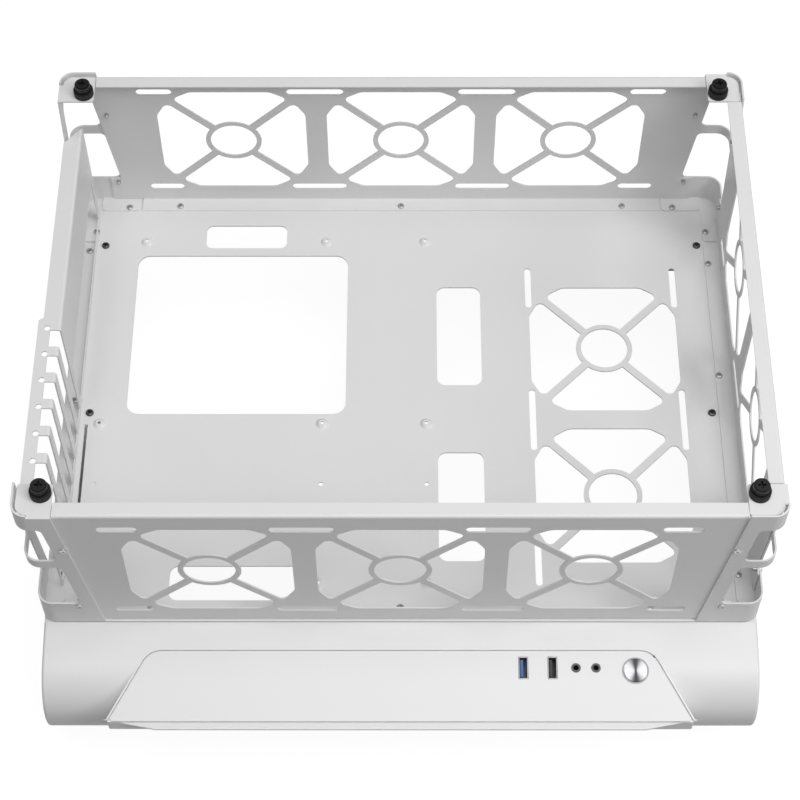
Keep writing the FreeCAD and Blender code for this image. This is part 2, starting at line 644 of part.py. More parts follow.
pocket(slot_panel, sketch(slot_panel, "XY_Plane", low), "2 * post_gauge + 2 * lift_gap")
first = val("card_first")
post_clear = -half_width + 2 * thick
trim = [polygon([(beyond, first + 6.2, 0), (tab_edge, first + 6.2, 0), (edge_x, first + 8.3, 0),
                 (edge_x, far_end - 13.4, 0), (wall_out, far_end - 0.5, 0), (wall_out, far_end + BEYOND, 0),
                 (beyond, far_end + BEYOND, 0)]),
        polygon([(beyond, near_end - BEYOND, 0), (post_clear, near_end - BEYOND, 0),
                 (post_clear, near_end + 5, 0), (beyond, near_end + 11, 0)])]
holes = []
notches = []
slots = []
for number in range(7):
    spot_y = val("card_first - %d * card_pitch" % number)
    holes.append(circle(-half_width + val("card_hole_in"), spot_y, val("card_hole")))
    finish = spot_y - val("card_offset")
    start = finish - val("card_opening")
    notches.append(rectangle(wall_out - val("card_notch"), start, wall_in + BEYOND, finish))
    slots.append(rectangle(start, val("card_foot"), finish, io_top - 2 * gauge))
pocket(slot_panel, sketch(slot_panel, "XY_Plane", trim + holes + notches, "io_height"), "6 * sheet_gauge")
near = val("aperture_near")
slots.append(rectangle(near, val("aperture_foot"), near + val("aperture_length"),
                       val("aperture_foot + aperture_height"), 1.5))
pocket(slot_panel, sketch(slot_panel, "YZ_Plane", slots, "io_inset - frame_width / 2"), "4 * sheet_gauge")
clear_half = val("screw_head") / 2 + 1.7
clear_top = val("post_gauge + screw_head_height + 2 * lift_gap")
tab_y = half_depth - post_long
reliefs = [rectangle(side * tab_y - clear_half, -BEYOND, side * tab_y + clear_half, clear_top)
           for side in (-1, 1)]
pocket(slot_panel, sketch(slot_panel, "YZ_Plane", reliefs, "io_inset - frame_width / 2"), "4 * sheet_gauge")
flange_holes = [circle(spot_x, spot_y, hole) for spot_x, spot_y in PANEL_SPOTS]
pocket(slot_panel, sketch(slot_panel, "XY_Plane", flange_holes), "4 * sheet_gauge")
keep(place(slot_panel, z=TRAY_TOP))

# Base skirt: a sheet wrapped round the lower chamber, open at the back and below
skirt = new_body("base_skirt")
skirt_front = -half_depth + val("base_setback")
ring = [rectangle(-half_width, skirt_front, half_width, half_depth, val("post_round")),
        rectangle(-half_width + thick, skirt_front + thick, half_width - thick, half_depth - thick,
                  val("post_round") - thick)]
pad(skirt, sketch(skirt, "XY_Plane", ring, "foot_height"), "chamber_height")
floor_level = val("foot_height")
rear = [polygon([(-half_width + 27, floor_level - 5, 0), (-half_width + 27, top - 26, 6),
                 (half_width - 27, top - 26, 6), (half_width - 27, floor_level - 5, 0)])]
pocket(skirt, sketch(skirt, "XZ_Plane", rear, "-frame_depth / 2"), "4 * post_gauge")
console_column = half_width - 35.2
CONSOLE_SPOTS = [(side * console_column, top - drop) for side in (-1, 0, 1) for drop in (22.0, 78.0)]
front = [rectangle(half_width - 175.2, top - 62, half_width - 60.2, top - 34, 6)]
front += [circle(spot_x, spot_z, hole) for spot_x, spot_z in CONSOLE_SPOTS]
pocket(skirt, sketch(skirt, "XZ_Plane", front, "frame_depth / 2 - base_setback"), "4 * post_gauge")
supply_y = 60.0 - val("supply_width") / 2
supply_z = floor_level + thick
supply = [rectangle(supply_y + 12, supply_z + 12, supply_y + 138, supply_z + 74, 6)]
for along, up in ((6, 80), (144, 80), (30, 6), (144, 16)):
    supply.append(circle(supply_y + along, supply_z + up, val("supply_hole")))
pocket(skirt, sketch(skirt, "YZ_Plane", supply, "-frame_width / 2"), "4 * post_gauge")
keep(skirt)


# Rails: angles along the left and right of the skirt, under the tray and over the feet
def rail(label, side, width, leg, level, up, loops):
    body = new_body(label)
    outside = side * (half_width - thick)
    inside = side * (half_width - thick - width)
    leg_x = outside - side * thick
    face_z = level + up * thick
    end_z = level + up * leg
    section = polygon([(outside, level, 0), (inside, level, 0), (inside, face_z, 0), (leg_x, face_z, 0),
                       (leg_x, end_z, 0), (outside, end_z, 0)])
    pad(body, sketch(body, "XZ_Plane", [section]), "frame_depth - 2 * rail_setback", True)
    pocket(body, sketch(body, "XY_Plane", loops, "%.3f" % level), "4 * post_gauge")
    return keep(body)


rail_inner = half_width - thick - val("rail_width")
rail_end = half_depth - val("rail_setback")
foot_x = half_width - thick - val("foot_rail_width") / 2
foot_y = half_depth - val("foot_setback")
for side, name in ((-1, "left"), (1, "right")):
    spots = [spot for spot in THROUGH_TRAY
             if side * spot[0] > rail_inner + 3 and abs(spot[1]) < rail_end - 2]
    loops = [circle(spot_x, spot_y, hole) for spot_x, spot_y in spots]
    if side < 0:
        loops.append(rectangle(*SIDE_SLIT))
    rail("tray_rail_" + name, side, val("rail_width"), val("rail_leg"), top - gauge, -1, loops)
    loops = [circle(side * foot_x, end * foot_y, 4.4) for end in (-1, 1)]
    rail("foot_rail_" + name, side, val("foot_rail_width"), val("foot_rail_leg"), floor_level, 1, loops)

# Feet: rubber discs with a counterbored hole
for corner_name, side_x, side_y, turn, legs in CORNERS:
    spot_x = "%d * (frame_width / 2 - post_gauge - foot_rail_width / 2)" % side_x
    spot_y = "%d * (frame_depth / 2 - foot_setback)" % side_y
    disc = doc.addObject("Part::Cone", "foot_disc_" + corner_name)
    disc.setExpression("Radius1", linked("foot_diameter / 2 - 1.5"))
    disc.setExpression("Radius2", linked("foot_diameter / 2"))
    disc.setExpression("Height", linked("foot_height"))
    place(disc, spot_x, spot_y, "0")
    bore = cylinder("foot_bore_" + corner_name, "4.4", "foot_height", spot_x, spot_y, "0")
    sink = cylinder("foot_sink_" + corner_name, "9", "foot_height - 4", spot_x, spot_y, "0")
    keep(cut("foot_" + corner_name, disc, fuse("foot_tool_" + corner_name, [bore, sink])))


# Screws: a pan head with a cross recess over its shank, head seat at the origin, head upwards
def screw_form(label, head, height, shank, length):
    crown = cylinder(label + "_crown", head, height)
    stem = cylinder(label + "_stem", shank, length, z="-(%s)" % length)
    rounded = doc.addObject("Part::Fillet", label + "_rounded")
    rounded.Base = crown
    doc.recompute()
    rim_edges = [index + 1 for index, item in enumerate(crown.Shape.Edges)
                 if item.BoundBox.ZMin > val(height) - 0.01]
    rounded.Edges = [(index, val(height) * 0.45, val(height) * 0.45) for index in rim_edges]
    solid = fuse(label + "_solid", [rounded, stem])
    reach = "(%s) * 0.6" % head
    blade = "(%s) * 0.15" % head
    deep = "(%s) * 0.5" % height
    one = box(label + "_blade_a", reach, blade, height, "-(%s) / 2" % reach, "-(%s) / 2" % blade, deep)
    two = box(label + "_blade_b", blade, reach, height, "-(%s) / 2" % blade, "-(%s) / 2" % reach, deep)
    form = cut(label, solid, fuse(label + "_cross", [one, two]))
    doc.recompute()
    return form


def screw_group(label, form, seats):
    """Copies of a screw at (point, head direction) seats."""
    copies = []
    for point, direction in seats:
        copy = form.Shape.copy()
        copy.Placement = FreeCAD.Placement(point, FreeCAD.Rotation(vec(0, 0, 1), direction))
        copies.append(copy)
    return keep(shaped(label, Part.makeCompound(copies)))


small_screw = screw_form("small_screw", "screw_head", "screw_head_height", "screw_shank", "screw_length")
tray_screw = screw_form("tray_screw", "tray_screw_head", "tray_screw_height", "screw_shank", "screw_length")
UP = vec(0, 0, 1)
joint_x = half_width - val("joint_screw_along")
joint_y = half_depth - val("joint_screw_along")


def joint_seats(height):
    level = top + height
    seats = [(vec(side * joint_x, end * half_depth, level), vec(0, end, 0))
             for side in (-1, 1) for end in (-1, 1)]
    return seats + [(vec(half_width, end * joint_y, level), vec(1, 0, 0)) for end in (-1, 1)]


zinc = [(vec(spot[0], spot[1], top + gauge), UP) for spot in FLANGE_SPOTS + PANEL_SPOTS]
zinc += [(vec(spot[0], spot[1], top + thick), UP) for spot in TAB_SPOTS]
zinc += joint_seats(val("joint_screw_low")) + joint_seats(val("joint_screw_high"))
screw_group("frame_screws", small_screw, zinc)
screw_group("black_screws", tray_screw, [(vec(spot[0], spot[1], top), UP) for spot in TRAY_SPOTS])
foot_screw = screw_form("foot_screw", "7.6", "2.6", "4", "10")
foot_seats = [(vec(side * foot_x, end * foot_y, floor_level - 4), vec(0, 0, -1))
              for side in (-1, 1) for end in (-1, 1)]
screw_group("foot_screws", foot_screw, foot_seats)
console_screw = screw_form("console_screw", "screw_head", "screw_head_height", "screw_shank", "9")
skirt_inside = skirt_front + thick
screw_group("console_screws", console_screw,
            [(vec(spot_x, skirt_inside, spot_z), vec(0, 1, 0)) for spot_x, spot_z in CONSOLE_SPOTS])

# Front console: the profile of the nose, in Y and Z
slope = math.radians(val("panel_slope"))
lean_back = math.radians(val("under_slope"))
rear_y = -half_depth
rear_z = top + val("console_rise")
nose_r = val("nose_round")
normal = (-math.sin(slope), math.cos(slope))
down = (-math.cos(slope), -math.sin(slope))
centre_y = rear_y - val("nose_reach") + nose_r
centre_z = rear_z + (-nose_r - normal[0] * (centre_y - rear_y)) / normal[1]
console_bottom = val("console_clearance")


def on_nose(angle, radius):
    """Point on the nose arc, the angle counted from the back over the top, in degrees."""
    turn_angle = math.radians(angle)
    return (centre_y + radius * math.cos(turn_angle), centre_z + radius * math.sin(turn_angle))


def down_slope(distance, height=0.0):
    """Point down the slope from the rear edge and above its face."""
    return (rear_y + down[0] * distance + normal[0] * height,
            rear_z + down[1] * distance + normal[1] * height)


def nose_outline(inset, back):
    radius = nose_r - inset
    start = 90 + val("panel_slope")
    finish = 180 + val("under_slope")
    low = console_bottom + inset
    end = on_nose(finish, radius)
    foot_reach = (end[1] - low) * math.tan(lean_back)
    first_z = rear_z + (back - rear_y) * math.tan(slope) - inset / math.cos(slope)
    return polygon([(back, first_z, 0), on_nose(start, radius) + (0, on_nose((start + finish) / 2, radius)),
                    end + (0,), (end[0] + foot_reach, low, max(9 - inset, 1)), (back, low, 0)])


console_shell = new_body("console_shell")
pad(console_shell, sketch(console_shell, "YZ_Plane", [nose_outline(0, skirt_front)]),
    "frame_width - 2 * console_inset", True)
doc.recompute()
end_x = half_width - val("console_inset")
end_edges = []
for item in console_shell.Shape.Edges:
    bounds = item.BoundBox
    at_end = bounds.XLength < 0.01 and abs(abs(bounds.XMin) - end_x) < 0.01
    if at_end and bounds.YMin < skirt_front - 0.01:
        end_edges.append(item)
console_full = console_shell.Shape.makeFillet(val("console_round"), end_edges)
# The frame stands over the rear of the console
tray_seat = top - gauge - val("lift_gap")
console_full = console_full.cut(Part.makeBox(2 * half_width, 4 * val("base_setback"), rim,
                                             vec(-half_width, rear_y - val("lift_gap"), tray_seat)))


def wire_at(x, points):
    """Wire in a plane across X from (y, z) points. A third item is a point on the arc to the next one."""
    edges = []
    for index, point in enumerate(points):
        after = points[(index + 1) % len(points)]
        start = vec(x, point[0], point[1])
        finish = vec(x, after[0], after[1])
        if len(point) > 2:
            edges.append(Part.Arc(start, vec(x, *point[2]), finish).toShape())
        else:
            edges.append(Part.LineSegment(start, finish).toShape())
    return Part.Wire(edges)


def prism_x(points, half):
    return Part.Face(wire_at(-half, points)).extrude(vec(2 * half, 0, 0))


# Port panel outline, in from its edge by a gap and down the slope to a finish: x, distance, corner radius
panel_start = val("panel_start")
panel_end = panel_start + val("panel_length")
upper_half = half_width - val("panel_top_inset")
low_half = half_width - val("panel_low_inset")


def panel_outline(gap, finish, bend):
    spread = (low_half - upper_half) / val("panel_length")
    start = panel_start + gap
    high_x = upper_half - gap
    low_x = high_x + spread * (finish - start)
    high_bend = val("panel_round")
    return [(-high_x, start, high_bend), (high_x, start, high_bend),
            (low_x, finish, bend), (-low_x, finish, bend)]


def upright(points, low, high):
    """Block over (x, y, corner radius) points between two levels."""
    face = Part.Face(Part.Wire([curve.toShape() for curve in polygon(points)]))
    face.translate(vec(0, 0, low))
    return face.extrude(vec(0, 0, high - low))


# Brow: the slope carried on flat beyond the nose, under the whole port panel
tip = val("panel_tip")
front_edge = down_slope(panel_end)
chin = (front_edge[0] + 4, front_edge[1] - val("chin_height"))
inner_low = (centre_y - 12, centre_z - 12)
inner_high = (centre_y, centre_z + 12)
far_edge = down_slope(panel_end + BEYOND)
wedge = prism_x([down_slope(10), far_edge, (far_edge[0], chin[1]), chin, inner_low, inner_high], half_width)
rim_outline = panel_outline(-val("panel_rim"), panel_end, tip)
plan = [(x, down_slope(distance)[0], bend) for x, distance, bend in rim_outline]
brow = wedge.common(upright(plan, console_bottom, top))

# Ledge along the front of the brow, running out at the panel's lower corners
ledge_half = half_width - val("ledge_inset")
ledge_end = low_half + 3
ledge_top = front_edge[1] - val("lip_drop")
ledge_tip = front_edge[0] - val("lip_reach")
ledge = upright([(-ledge_end, front_edge[0] + 2, 0), (-ledge_half, ledge_tip, 0), (ledge_half, ledge_tip, 0),
                 (ledge_end, front_edge[0] + 2, 0), (ledge_half, front_edge[0] + 12, 0),
                 (-ledge_half, front_edge[0] + 12, 0)], ledge_top - val("lip_gauge"), ledge_top)
console_solid = console_full.fuse(brow).fuse(ledge)


# Shapes in the slope's own frame: x along the case, y up the slope, z out of the face
def tilt(shape):
    turn = FreeCAD.Rotation(vec(1, 0, 0), val("panel_slope"))
    shape.Placement = FreeCAD.Placement(vec(0, rear_y, rear_z), turn)
    return shape


def slope_prism(points):
    """Block square to the slope over (x, distance down the slope, corner radius) points."""
    edges = [curve.toShape() for curve in polygon([(x, -distance, bend) for x, distance, bend in points])]
    face = Part.Face(Part.Wire(edges))
    face.translate(vec(0, 0, -60))
    return tilt(face.extrude(vec(0, 0, 80)))


def slope_box(x0, y0, z0, x1, y1, z1):
    """Block in the slope's frame, y counted down the slope."""
    return tilt(Part.makeBox(x1 - x0, y1 - y0, z1 - z0, vec(x0, -y1, z0)).copy())


def slope_round(x, y, z0, z1, diameter):
    """Upright cylinder in the slope's frame, y counted down the slope."""
    return tilt(Part.makeCylinder(diameter / 2, z1 - z0, vec(x, -y, z0)).copy())


# Recess of the panel, open at the front, and the plate in it
depth = val("panel_depth")
far = panel_end + 2 * BEYOND
slab = slope_box(-half_width, 0, -depth, half_width, far, BEYOND)
recess = slope_prism(panel_outline(0.0, far, 0)).common(slab)
plate = slope_prism(panel_outline(val("panel_gap"), panel_end, tip)).common(console_solid).common(slab)

# Console: hollow, with the panel's recess, the window under the ports and bosses for its screws
brow_hollow = prism_x([down_slope(16, -8), down_slope(panel_end - 6, -5.5),
                       (front_edge[0] + 8, chin[1] + 2.0), inner_low, inner_high], ledge_half - 7)
cavity_curves = nose_outline(val("console_wall"), skirt_front + BEYOND)
cavity = Part.Face(Part.Wire([curve.toShape() for curve in cavity_curves]))
cavity.Placement = FreeCAD.Placement(vec(0, 0, 0), FreeCAD.Rotation(0.5, 0.5, 0.5, 0.5))
cavity.translate(vec(-end_x + val("console_wall"), 0, 0))
cavity = cavity.extrude(vec(2 * end_x - 2 * val("console_wall"), 0, 0))
console = console_solid.cut(cavity).cut(brow_hollow)
bosses = []
for spot_x, spot_z in CONSOLE_SPOTS:
    boss = Part.makeCylinder(4.5, 80, vec(spot_x, skirt_front, spot_z), vec(0, -1, 0))
    bosses.append(boss.common(console_solid))
console = console.fuse(bosses)
window_low = 44.5
window = slope_box(half_width - 165.2, 22.5, -12, half_width - 69.2, window_low, 5)
console = console.cut(recess).cut(window)
pilot_radius = val("screw_shank") / 2 + 0.1
for spot_x, spot_z in CONSOLE_SPOTS:
    start = vec(spot_x, skirt_front, spot_z)
    console = console.cut(Part.makeCylinder(pilot_radius, 11, start, vec(0, -1, 0)))
keep(shaped("front_console", console.removeSplitter()))

# Port panel: the plate with its cut-outs, and four bosses that carry the port board
port_y = val("port_down")
gap = val("port_gap")
usb_half = val("usb_short") / 2
usb_reach = val("usb_long") / 2
board_top = -val("port_board_depth")
board_low = board_top - val("port_board_gauge")
BOSSES = [(spot_x, spot_y) for spot_x in (half_width - 145.7, half_width - 97.9) for spot_y in (26.0, 40.5)]
plate_under = -1.0
for spot_x, spot_y in BOSSES:
    plate = plate.fuse(slope_round(spot_x, spot_y, board_top, plate_under, 5.0))
tools = []
for alias in ("usb_three_in", "usb_two_in"):
    spot_x = half_width - val(alias)
    tools.append(slope_box(spot_x - usb_half - gap, port_y - usb_reach - gap, -8,
                           spot_x + usb_half + gap, port_y + usb_reach + gap, 8))
for alias in ("jack_one_in", "jack_two_in"):
    tools.append(slope_round(half_width - val(alias), port_y, -8, 8, val("jack_diameter") + gap))
BUTTON_X = "frame_width / 2 - button_in"
sleeve = val("button_diameter + 2 * button_gap + 2 * ring_wall")
tools.append(slope_round(val(BUTTON_X), val("button_down"), -8, 8, sleeve))
for spot_x, spot_y in BOSSES:
    tools.append(slope_round(spot_x, spot_y, board_top - 1, board_top + 6, 2.2))
for tool in tools:
    plate = plate.cut(tool)
keep(shaped("io_panel", plate.removeSplitter()))


# Ports, jacks, button, ring, switch and board, all in the slope's frame
def on_slope(item):
    rear_edge = TRAY_TOP + " + console_rise"
    return keep(place(item, "0", "-frame_depth / 2", rear_edge, val("panel_slope"), (1, 0, 0)))


PORT_ROW = "-port_down"
BOARD = "-port_board_depth"
for alias, name in (("usb_three_in", "usb3"), ("usb_two_in", "usb2")):
    spot = "frame_width / 2 - " + alias
    shell = box(name + "_outside", "usb_short", "usb_long", "port_board_depth - 0.2",
                spot + " - usb_short / 2", PORT_ROW + " - usb_long / 2", BOARD)
    hollow = box(name + "_inside", "usb_short - 2 * usb_wall", "usb_long - 2 * usb_wall", "port_board_depth",
                 spot + " - usb_short / 2 + usb_wall", PORT_ROW + " - usb_long / 2 + usb_wall", BOARD)
    on_slope(cut(name + "_shell", shell, hollow))
    block = box(name + "_block", "usb_short - 2 * usb_wall", "usb_long - 2 * usb_wall", "3",
                spot + " - usb_short / 2 + usb_wall", PORT_ROW + " - usb_long / 2 + usb_wall", BOARD)
    tongue = box(name + "_blade", "1.9", "usb_long - 3", "port_board_depth - 1.6",
                 spot + " - 1.9", PORT_ROW + " - usb_long / 2 + 1.5", BOARD)
    on_slope(fuse(name + "_tongue", [block, tongue]))
for alias, name in (("jack_one_in", "left"), ("jack_two_in", "right")):
    spot = "frame_width / 2 - " + alias
    block = box("jack_block_" + name, "7", "8", "port_board_depth - 4", spot + " - 3.5",
                PORT_ROW + " - 4", BOARD)
    barrel = cylinder("jack_barrel_" + name, "jack_diameter", "port_board_depth + 0.3", spot, PORT_ROW, BOARD)
    bore = cylinder("jack_bore_" + name, "jack_bore", "port_board_depth", spot, PORT_ROW, BOARD + " + 2")
    on_slope(cut("audio_jack_" + name, fuse("jack_solid_" + name, [block, barrel]), bore))
button_y = "-button_down"
cap = cylinder("button_cap", "button_diameter", "button_proud + 3", BUTTON_X, button_y, "-3")
collar = cylinder("button_flange", "button_diameter + 3", "1", BUTTON_X, button_y, "-3.4")
stem = cylinder("button_stem", "5", "5.4", BUTTON_X, button_y, "-8.4")
on_slope(fuse("power_button", [cap, collar, stem]))
flange = cylinder("ring_flange", "ring_outside", "ring_proud", BUTTON_X, button_y, "0")
passage_size = "button_diameter + 2 * button_gap"
tube = cylinder("ring_tube", passage_size + " + 2 * ring_wall", "1.6", BUTTON_X, button_y, "-1.6")
passage = cylinder("ring_passage", passage_size, "6", BUTTON_X, button_y, "-3")
on_slope(cut("button_ring", fuse("ring_solid", [flange, tube]), passage))
case = box("switch_case", "12", "12", "3.5", BUTTON_X + " - 6", button_y + " - 6", BOARD)
plunger_long = "port_board_depth - 8.7 - button_travel"
plunger = cylinder("switch_plunger", "3.4", plunger_long, BUTTON_X, button_y, BOARD)
on_slope(fuse("power_switch", [case, plunger]))
port_board = new_body("io_board")
board_outline = rectangle(half_width - 162.2, -43.5, half_width - 71.2, -23.0, 2)
pad(port_board, sketch(port_board, "XY_Plane", [board_outline], "-port_board_depth - port_board_gauge"),
    "port_board_gauge")
pocket(port_board, sketch(port_board, "XY_Plane", [circle(spot_x, -spot_y, 2.6) for spot_x, spot_y in BOSSES],
                          "-port_board_depth"), "6 * port_board_gauge")
on_slope(port_board)
board_screw = screw_form("board_screw", "4.2", "1.5", "2", "6")
slope_turn = FreeCAD.Rotation(vec(1, 0, 0), val("panel_slope"))
board_seats = []
for spot_x, spot_y in BOSSES:
    seat = slope_turn.multVec(vec(spot_x, -spot_y, board_low)) + vec(0, rear_y, rear_z)
    board_seats.append((seat, slope_turn.multVec(vec(0, 0, -1))))
screw_group("board_screws", board_screw, board_seats)

# Check every object and write one file a piece
doc.recompute()
for item in doc.Objects:
    if "Invalid" in item.State or "Error" in item.State:
        raise RuntimeError("not built: %s %s" % (item.Label, item.State))
# The origin goes to the floor under the middle of the whole case
extent = FreeCAD.BoundBox()
for item in NODES:
    if item.Shape.isNull() or not item.Shape.isValid() or not item.Shape.Solids:
        raise RuntimeError("bad shape: %s" % item.Label)
    extent.add(item.Shape.BoundBox)
to_origin = vec(-extent.Center.x, -extent.Center.y, -extent.ZMin)
os.makedirs("parts", exist_ok=True)
for item in NODES:
    shape = item.Shape.copy()
    shape.translate(to_origin)
    shape.exportStep("parts/%s.step" % item.Label)
    print("%-28s solids %3d  volume %10.1f" % (item.Label, len(shape.Solids), shape.Volume))
print("moved by", to_origin)
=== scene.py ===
# %% [markdown]
# # An open computer case in white
# The case is a frame of folded sheet steel on a low base, with a moulded console along its front.
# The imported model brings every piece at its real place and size. This lesson gives the pieces their
# finishes, puts finer screws on their seats, and sets the light and the camera.

# %% Load the frame
import bpy
import bmesh
import math
from mathutils import Euler, Matrix, Vector


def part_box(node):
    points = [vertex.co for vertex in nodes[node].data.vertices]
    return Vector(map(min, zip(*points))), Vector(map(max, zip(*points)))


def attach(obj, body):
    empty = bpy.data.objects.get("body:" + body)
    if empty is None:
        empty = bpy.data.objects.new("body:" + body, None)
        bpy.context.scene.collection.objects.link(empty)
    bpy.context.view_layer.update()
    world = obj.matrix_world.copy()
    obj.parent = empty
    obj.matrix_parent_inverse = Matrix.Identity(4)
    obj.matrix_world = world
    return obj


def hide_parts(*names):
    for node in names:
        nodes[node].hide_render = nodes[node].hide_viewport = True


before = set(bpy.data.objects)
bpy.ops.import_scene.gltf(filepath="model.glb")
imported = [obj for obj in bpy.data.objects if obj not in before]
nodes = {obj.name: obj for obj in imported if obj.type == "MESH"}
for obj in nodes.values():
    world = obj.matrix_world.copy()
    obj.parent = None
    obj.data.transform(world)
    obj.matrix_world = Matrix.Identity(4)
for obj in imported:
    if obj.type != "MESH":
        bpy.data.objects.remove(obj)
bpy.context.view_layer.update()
scene = bpy.context.scene
print("pieces in the frame:", len(nodes))

# %% [markdown]
# ## Camera
# The photograph looks down on the case from the front at about 57 degrees, from well over a metre away.
# The lens and the place were worked out from straight edges of known length, so the picture lines up
# with the model without any shift of the frame.

# %% Camera at the photograph's angle
SENSOR_MM = 36.0
PICTURE_PIXELS = 800.0
FOCAL_PIXELS = 2086.5
TURN_DEGREES = (32.4901, 0.1246, 0.0776)
camera_data = bpy.data.cameras.new("photo_camera")
camera_data.sensor_width = SENSOR_MM
camera_data.lens = SENSOR_MM * FOCAL_PIXELS / PICTURE_PIXELS
camera_data.clip_end = 20.0
camera = bpy.data.objects.new("photo_camera", camera_data)
camera.location = (0.00424, -0.755, 1.3366)
camera.rotation_euler = Euler([math.radians(angle) for angle in TURN_DEGREES], "XYZ")
scene.collection.objects.link(camera)
scene.camera = camera
print("lens", round(camera_data.lens, 1), "mm")

# %% [markdown]
# ## Colours and nodes
# Finishes are written as the sRGB values that a colour picker shows. Blender's shaders want linear
# light, so one function turns the one into the other. A second small function adds a node to a tree,
# sets its values and links its inputs, which keeps every material readable from top to bottom. Two more
# open an empty finish and close it with its output.


# %% Helpers for colours, nodes and finishes
def colour(text):
    """Linear colour with alpha from an sRGB hex value."""
    parts = [int(text[start:start + 2], 16) / 255 for start in (1, 3, 5)]
    linear = [part / 12.92 if part <= 0.04045 else ((part + 0.055) / 1.055) ** 2.4 for part in parts]
    return (*linear, 1.0)


def add(tree, kind, settings=None, **inputs):
    """Add a node. Settings are its properties, inputs are values or sockets to link, by input name."""
    node = tree.nodes.new(kind)
    for name, value in (settings or {}).items():
        setattr(node, name, value)
    for name, value in inputs.items():
        socket = node.inputs[int(name[1:])] if name[1:].isdigit() else node.inputs[name.replace("_", " ")]
        if isinstance(value, bpy.types.NodeSocket):
            tree.links.new(value, socket)
        else:
            socket.default_value = value
    return node


def new_finish(name):
    """An empty material and its node tree."""
    finish = bpy.data.materials.new(name)
    finish.use_nodes = True
    finish.node_tree.nodes.clear()
    return finish, finish.node_tree


def close(tree, shader):
    """Link a finished shader to the material's output."""
    add(tree, "ShaderNodeOutputMaterial", Surface=shader)


print("a light grey reads as", [round(part, 3) for part in colour("#e0e0e0")[:3]])

# %% [markdown]
# ## Powder coat
# The sheet steel is coated with white powder that melts into a skin with a faint orange peel. From a step
# away it is a soft, even white. Close up the light breaks a little on bumps about a millimetre wide, so a
# noise of 900 bumps to the metre drives a weak bump and a slight change of gloss. A second noise, with clouds
# as wide as a hand, keeps the large plates from looking flat.


# %% White powder coat on folded steel
CLOUDS_PER_METRE = 14.0
PEEL_PER_METRE = 900.0


def powder_coat(name, light, shade):
    finish, tree = new_finish(name)
    place = add(tree, "ShaderNodeTexCoord").outputs["Object"]
    cloud = add(tree, "ShaderNodeTexNoise", Vector=place, Scale=CLOUDS_PER_METRE, Detail=3.0)
    peel = add(tree, "ShaderNodeTexNoise", Vector=place, Scale=PEEL_PER_METRE, Detail=2.0)
    tone = add(tree, "ShaderNodeMix", {"data_type": "RGBA"}, Factor=cloud.outputs["Fac"], _6=colour(shade),
               _7=colour(light))
    gloss = add(tree, "ShaderNodeMapRange", Value=peel.outputs["Fac"], To_Min=0.36, To_Max=0.5)
    bump = add(tree, "ShaderNodeBump", Height=peel.outputs["Fac"], Strength=0.06, Distance=0.0004)
    skin = add(tree, "ShaderNodeBsdfPrincipled", Base_Color=tone.outputs[2], IOR=1.5,
               Roughness=gloss.outputs["Result"], Normal=bump.outputs["Normal"])
    close(tree, skin.outputs["BSDF"])
    return finish


# Powder-coated steel: an even white with a soft sheen
steel_white = powder_coat("powder_coated_steel_white", "#e6e6e6", "#e2e2e2")
print("made", steel_white.name)

# %% [markdown]
# ## Moulded plastic and rubber
# The console and the port panel are ABS, moulded in a tool with a very fine spark-eroded grain, so one noise
# of less than a millimetre is enough for them. The same recipe gives the port tongues, the jacks, the board's
# solder mask, the coat of the panel pins and the rubber of the feet, each with its own colour and gloss.


# %% Moulded plastic, coats and rubber
def moulded_plastic(name, base, rough, grain_mm, strength):
    finish, tree = new_finish(name)
    place = add(tree, "ShaderNodeTexCoord").outputs["Object"]
    grain = add(tree, "ShaderNodeTexNoise", Vector=place, Scale=1000.0 / grain_mm, Detail=2.0)
    gloss = add(tree, "ShaderNodeMapRange", Value=grain.outputs["Fac"], To_Min=rough - 0.05,
                To_Max=rough + 0.05)
    bump = add(tree, "ShaderNodeBump", Height=grain.outputs["Fac"], Strength=strength, Distance=0.0003)
    skin = add(tree, "ShaderNodeBsdfPrincipled", Base_Color=colour(base), Roughness=gloss.outputs["Result"],
               Normal=bump.outputs["Normal"], IOR=1.52)
    close(tree, skin.outputs["BSDF"])
    return finish


# White ABS: the console is a little duller than the port panel
console_white = moulded_plastic("abs_moulded_white", "#e5e5e5", 0.42, 0.8, 0.05)
panel_white = moulded_plastic("abs_panel_white", "#e4e4e4", 0.36, 0.8, 0.04)
# Coloured ABS of the ports, jacks and switch: dark, with a soft highlight
black_plastic = moulded_plastic("abs_moulded_black", "#0a0a0a", 0.45, 0.5, 0.05)
blue_plastic = moulded_plastic("abs_port_blue", "#27598e", 0.4, 0.5, 0.05)
jack_grey = moulded_plastic("abs_jack_grey", "#4a4a4c", 0.4, 0.5, 0.05)
# Rubber of the feet and collars: matt black
black_rubber = moulded_plastic("rubber_black", "#0c0c0c", 0.7, 0.7, 0.12)
# Nylon coat of the panel pins: the deepest black here, with a narrow shine
pin_black = moulded_plastic("black_nylon_coat", "#060606", 0.45, 0.6, 0.06)
# Solder mask of the port board: glossy green
board_green = moulded_plastic("solder_mask_green", "#1d5a34", 0.3, 0.9, 0.05)
print("made the plastics and the rubber")

# %% [markdown]
# ## Metals
# Zinc on the small screws is pale and slightly cloudy, black oxide on the tray screws is a dark grey, and the
# port shells are nickel. One function serves all of them: a cloud of 2 to 3 millimetres changes the gloss, as
# plating does.


# %% Plated steel
PLATING_PER_METRE = 420.0


